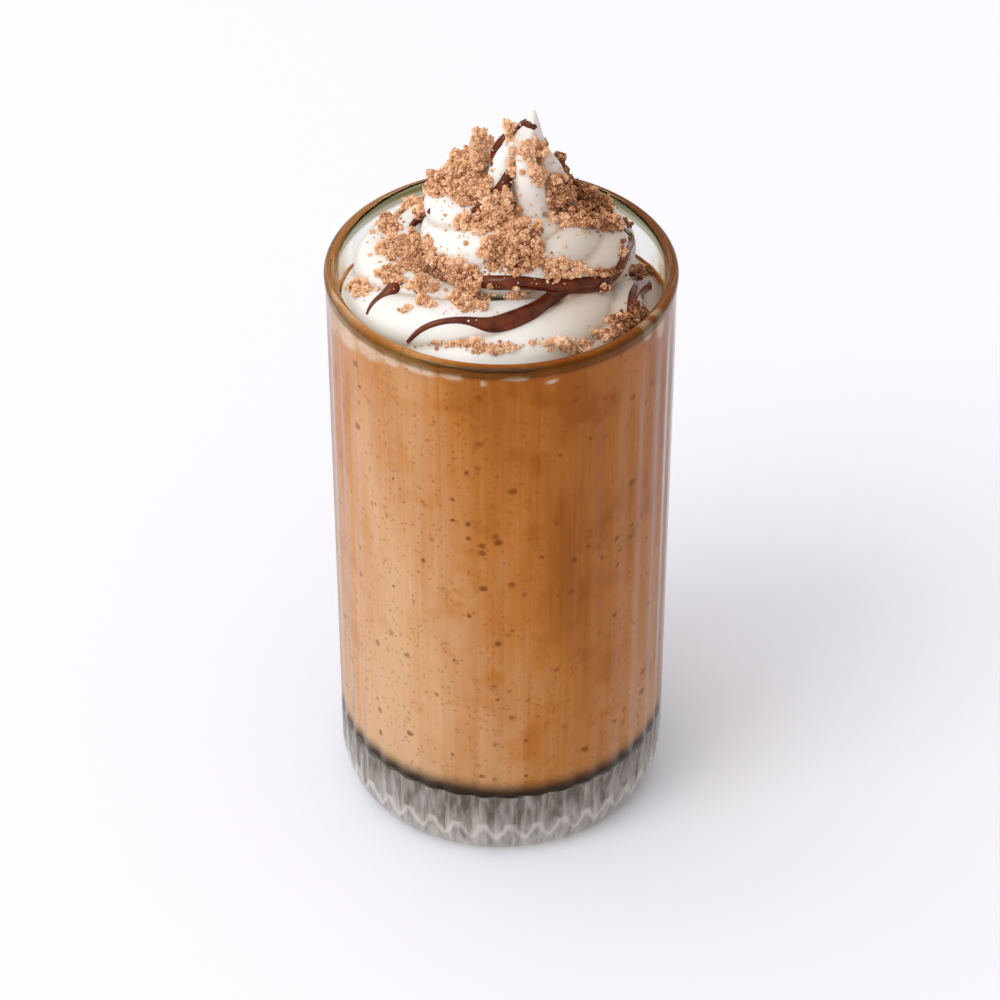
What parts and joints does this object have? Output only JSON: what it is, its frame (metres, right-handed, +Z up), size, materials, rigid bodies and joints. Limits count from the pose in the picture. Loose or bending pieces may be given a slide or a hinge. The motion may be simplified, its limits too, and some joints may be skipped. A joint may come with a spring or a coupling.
{
  "type": "mocha frappe",
  "caption": "Blended iced coffee in a ribbed tumbler, with a tall swirl of piped whipped cream, chocolate drizzle and biscuit crumbs.",
  "frame": {"origin": "middle of the glass's foot, on the surface it stands on", "axes": "+Z up along the glass's axis, -Y towards the front of the drink, +X to its right"},
  "size_m": [0.08, 0.08, 0.1842],
  "materials": {
    "clear_glass": "gloss",
    "blended_coffee": "satin",
    "cream": "satin",
    "chocolate": "gloss",
    "biscuit": "matte"
  },
  "bodies": {
    "root": {"glass": "clear_glass", "frappe": "blended_coffee", "whipped_cream": "cream"}
  },
  "joints": []
}
